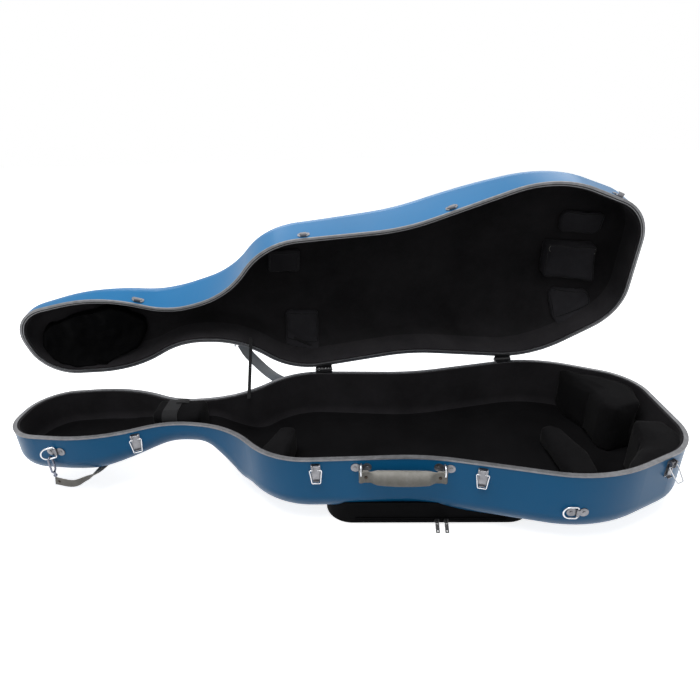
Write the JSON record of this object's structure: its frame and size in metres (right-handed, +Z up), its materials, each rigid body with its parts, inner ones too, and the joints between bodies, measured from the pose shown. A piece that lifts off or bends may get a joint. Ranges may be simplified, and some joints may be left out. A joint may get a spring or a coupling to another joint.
{
  "type": "cello case",
  "caption": "Hard cello case lying open on its base, hinged domed lid, draw latches, padded interior, handle, strap rings and a zipped music pouch underneath.",
  "frame": {"origin": "on the ground under the middle of the case, on the music pouch underside", "axes": "+X along the case to its lower end, +Y to the hinge side, +Z up"},
  "size_m": [1.3967, 0.5696, 0.6185],
  "materials": {
    "blue_shell": "satin",
    "rim_metal": "satin",
    "black_plush": "matte",
    "black_webbing": "matte",
    "grey_webbing": "matte",
    "grey_leather": "satin",
    "chrome_hardware": "polished",
    "black_steel": "satin",
    "dark_bronze": "polished",
    "black_rubber": "matte",
    "black_nylon": "matte"
  },
  "bodies": {
    "base": {"base_shell": "blue_shell", "base_rim": "rim_metal", "base_wall_lining": "black_plush", "base_floor_lining": "black_plush", "hinge_base_leaves": "black_steel", "hinge_pins": "chrome_hardware", "latch_plates": "chrome_hardware", "latch_pins": "chrome_hardware", "handle_plates": "chrome_hardware", "handle_rings": "chrome_hardware", "strap_ring_plates": "chrome_hardware", "base_rivets": "chrome_hardware", "head_rings": "chrome_hardware", "carry_strap": "grey_webbing", "stay_strap": "black_webbing", "neck_rest": "black_plush", "neck_rest_band": "black_webbing", "upper_bout_pad": "black_plush", "side_block_hinge": "black_plush", "side_block_latch": "black_plush", "curved_pad": "black_plush", "music_pouch": "black_nylon", "pouch_zip": "black_nylon"},
    "lid": {"lid_shell": "blue_shell", "lid_rim": "rim_metal", "rim_gasket": "black_rubber", "lid_wall_lining": "black_plush", "lid_floor_lining": "black_plush", "hinge_lid_leaves": "black_steel", "latch_catches": "chrome_hardware", "lid_rivets": "chrome_hardware", "bow_clips": "black_plush", "bow_pockets": "black_plush", "rosin_pouch": "black_plush", "accessory_bag": "black_nylon", "lid_ring_plate": "chrome_hardware"},
    "lever_1": {"latch_lever_1": "chrome_hardware"},
    "bail_1": {"latch_bail_1": "chrome_hardware"},
    "lever_2": {"latch_lever_2": "chrome_hardware"},
    "bail_2": {"latch_bail_2": "chrome_hardware"},
    "lever_3": {"latch_lever_3": "chrome_hardware"},
    "bail_3": {"latch_bail_3": "chrome_hardware"},
    "lever_4": {"latch_lever_4": "chrome_hardware"},
    "bail_4": {"latch_bail_4": "chrome_hardware"},
    "handle": {"handle_grip": "grey_leather", "handle_rivets": "dark_bronze"},
    "ring_lower_front": {"ring_lower_front": "chrome_hardware"},
    "ring_lower_back": {"ring_lower_back": "chrome_hardware"},
    "strap_ring_lid": {"strap_ring_lid": "chrome_hardware"},
    "head_sling": {"head_strap": "grey_webbing", "head_hooks": "chrome_hardware"},
    "zip_slider_left": {"zip_slider_left": "black_steel"},
    "zip_pull_left": {"zip_pull_left": "black_steel"},
    "zip_slider_right": {"zip_slider_right": "black_steel"},
    "zip_pull_right": {"zip_pull_right": "black_steel"}
  },
  "joints": [
    {"name": "lid_hinge", "type": "hinge", "parent": "base", "child": "lid", "pos_m": [0, 0.1906, 0.16], "axis": [0.9951, 0.0993, 0], "range_deg": [0, 75], "deforming": ["stay_strap", "carry_strap"]},
    {"name": "lever_1_pivot", "type": "hinge", "parent": "base", "child": "lever_1", "pos_m": [-0.4125, -0.07875, 0.148], "axis": [-0.909, -0.4167, 0], "range_deg": [0, 90]},
    {"name": "bail_1_pivot", "type": "hinge", "parent": "lever_1", "child": "bail_1", "pos_m": [-0.41208, -0.07966, 0.1405], "axis": [-0.909, -0.4167, 0], "range_deg": [0, 95]},
    {"name": "lever_2_pivot", "type": "hinge", "parent": "base", "child": "lever_2", "pos_m": [-0.03077, -0.18035, 0.148], "axis": [-0.9993, -0.0379, 0], "range_deg": [0, 90]},
    {"name": "bail_2_pivot", "type": "hinge", "parent": "lever_2", "child": "bail_2", "pos_m": [-0.03073, -0.18135, 0.1405], "axis": [-0.9993, -0.0379, 0], "range_deg": [0, 95]},
    {"name": "lever_3_pivot", "type": "hinge", "parent": "base", "child": "lever_3", "pos_m": [0.27462, -0.19603, 0.148], "axis": [-0.9731, 0.2305, 0], "range_deg": [0, 90]},
    {"name": "bail_3_pivot", "type": "hinge", "parent": "lever_3", "child": "bail_3", "pos_m": [0.27439, -0.197, 0.1405], "axis": [-0.9731, 0.2305, 0], "range_deg": [0, 95]},
    {"name": "lever_4_pivot", "type": "hinge", "parent": "base", "child": "lever_4", "pos_m": [0.62272, -0.17403, 0.148], "axis": [-0.891, -0.454, 0], "range_deg": [0, 90]},
    {"name": "bail_4_pivot", "type": "hinge", "parent": "lever_4", "child": "bail_4", "pos_m": [0.62318, -0.17492, 0.1405], "axis": [-0.891, -0.454, 0], "range_deg": [-40, 55]},
    {"name": "handle_swing", "type": "hinge", "parent": "base", "child": "handle", "pos_m": [0.13114, -0.1821, 0.14], "axis": [-0.9997, 0.0256, 0], "range_deg": [0, 110]},
    {"name": "ring_lower_front_swing", "type": "hinge", "parent": "base", "child": "ring_lower_front", "pos_m": [0.4419, -0.22743, 0.079], "axis": [0, 0, 1], "range_deg": [0, 170]},
    {"name": "ring_lower_back_swing", "type": "hinge", "parent": "base", "child": "ring_lower_back", "pos_m": [0.4419, 0.22743, 0.079], "axis": [0, 0, -1], "range_deg": [0, 170]},
    {"name": "strap_ring_lid_swing", "type": "hinge", "parent": "lid", "child": "strap_ring_lid", "pos_m": [-0.24262, 0.16755, 0.25613], "axis": [-0.0959, 0.9611, 0.2588], "range_deg": [-75, 75]},
    {"name": "head_sling_swing", "type": "hinge", "parent": "base", "child": "head_sling", "pos_m": [-0.58245, 0, 0.1155], "axis": [0, 1, 0], "range_deg": [0, 12]},
    {"name": "zip_slider_left_slide", "type": "slide", "parent": "base", "child": "zip_slider_left", "axis": [-1, 0, 0], "range_m": [0, 0.11]},
    {"name": "zip_pull_left_swing", "type": "hinge", "parent": "zip_slider_left", "child": "zip_pull_left", "pos_m": [0.2, -0.1794, 0.011], "axis": [-1, 0, 0], "range_deg": [0, 60]},
    {"name": "zip_slider_right_slide", "type": "slide", "parent": "base", "child": "zip_slider_right", "axis": [1, 0, 0], "range_m": [0, 0.11]},
    {"name": "zip_pull_right_swing", "type": "hinge", "parent": "zip_slider_right", "child": "zip_pull_right", "pos_m": [0.218, -0.1794, 0.011], "axis": [-1, 0, 0], "range_deg": [0, 60]}
  ]
}
